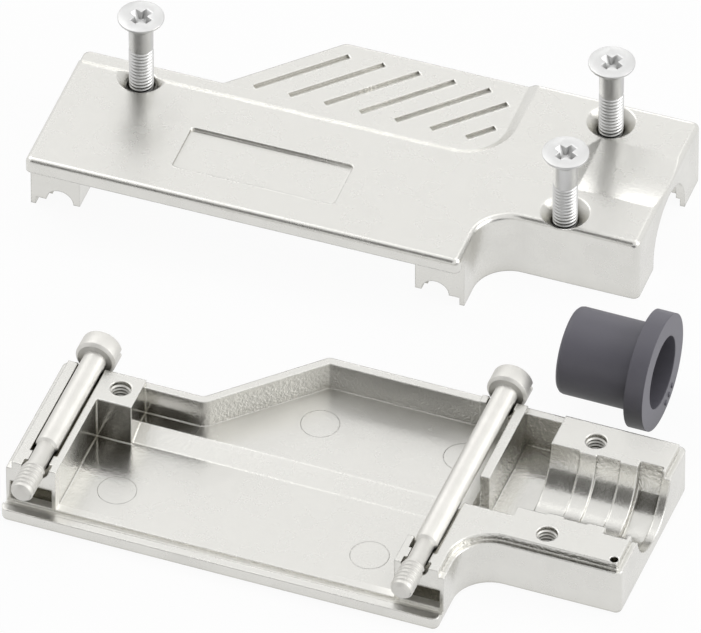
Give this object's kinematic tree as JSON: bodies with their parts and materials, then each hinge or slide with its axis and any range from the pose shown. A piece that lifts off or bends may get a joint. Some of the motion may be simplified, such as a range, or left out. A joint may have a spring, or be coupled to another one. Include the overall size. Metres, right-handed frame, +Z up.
{
  "type": "d-sub hood",
  "caption": "Side-entry cast metal hood for a D-sub connector, laid out open: two half shells, jackscrews, cover screws and a cable bush.",
  "frame": {"origin": "on the table, on the lower shell's outer face, in the plane of the connector flange's seat, midway between the jackscrews", "axes": "+X along the connector towards the cable outlet, +Y from the connector to the back, +Z up from the table"},
  "size_m": [0.0898, 0.0869, 0.0184],
  "materials": {
    "cast_nickel": "satin nickel plate over a zinc casting, with soft cast edges",
    "jackscrew_nickel": "turned steel, nickel plated, satin",
    "screw_zinc": "zinc-plated steel, bright",
    "bush_plastic": "moulded dark grey plastic, matt"
  },
  "bodies": {
    "root": {"lower_shell": "cast_nickel", "upper_shell": "cast_nickel", "cable_bush": "bush_plastic", "cover_screw_left": "screw_zinc", "cover_screw_back_right": "screw_zinc", "cover_screw_front_right": "screw_zinc"},
    "left_jackscrew": {"left_jackscrew": "jackscrew_nickel"},
    "right_jackscrew": {"right_jackscrew": "jackscrew_nickel"}
  },
  "joints": [
    {"name": "left_jackscrew_turn", "type": "hinge", "parent": "root", "child": "left_jackscrew", "pos_m": [-0.02352, 0.0078, 0.0077], "axis": [0, 1, 0], "continuous": true},
    {"name": "right_jackscrew_turn", "type": "hinge", "parent": "root", "child": "right_jackscrew", "pos_m": [0.02352, 0.0078, 0.0077], "axis": [0, 1, 0], "continuous": true}
  ]
}
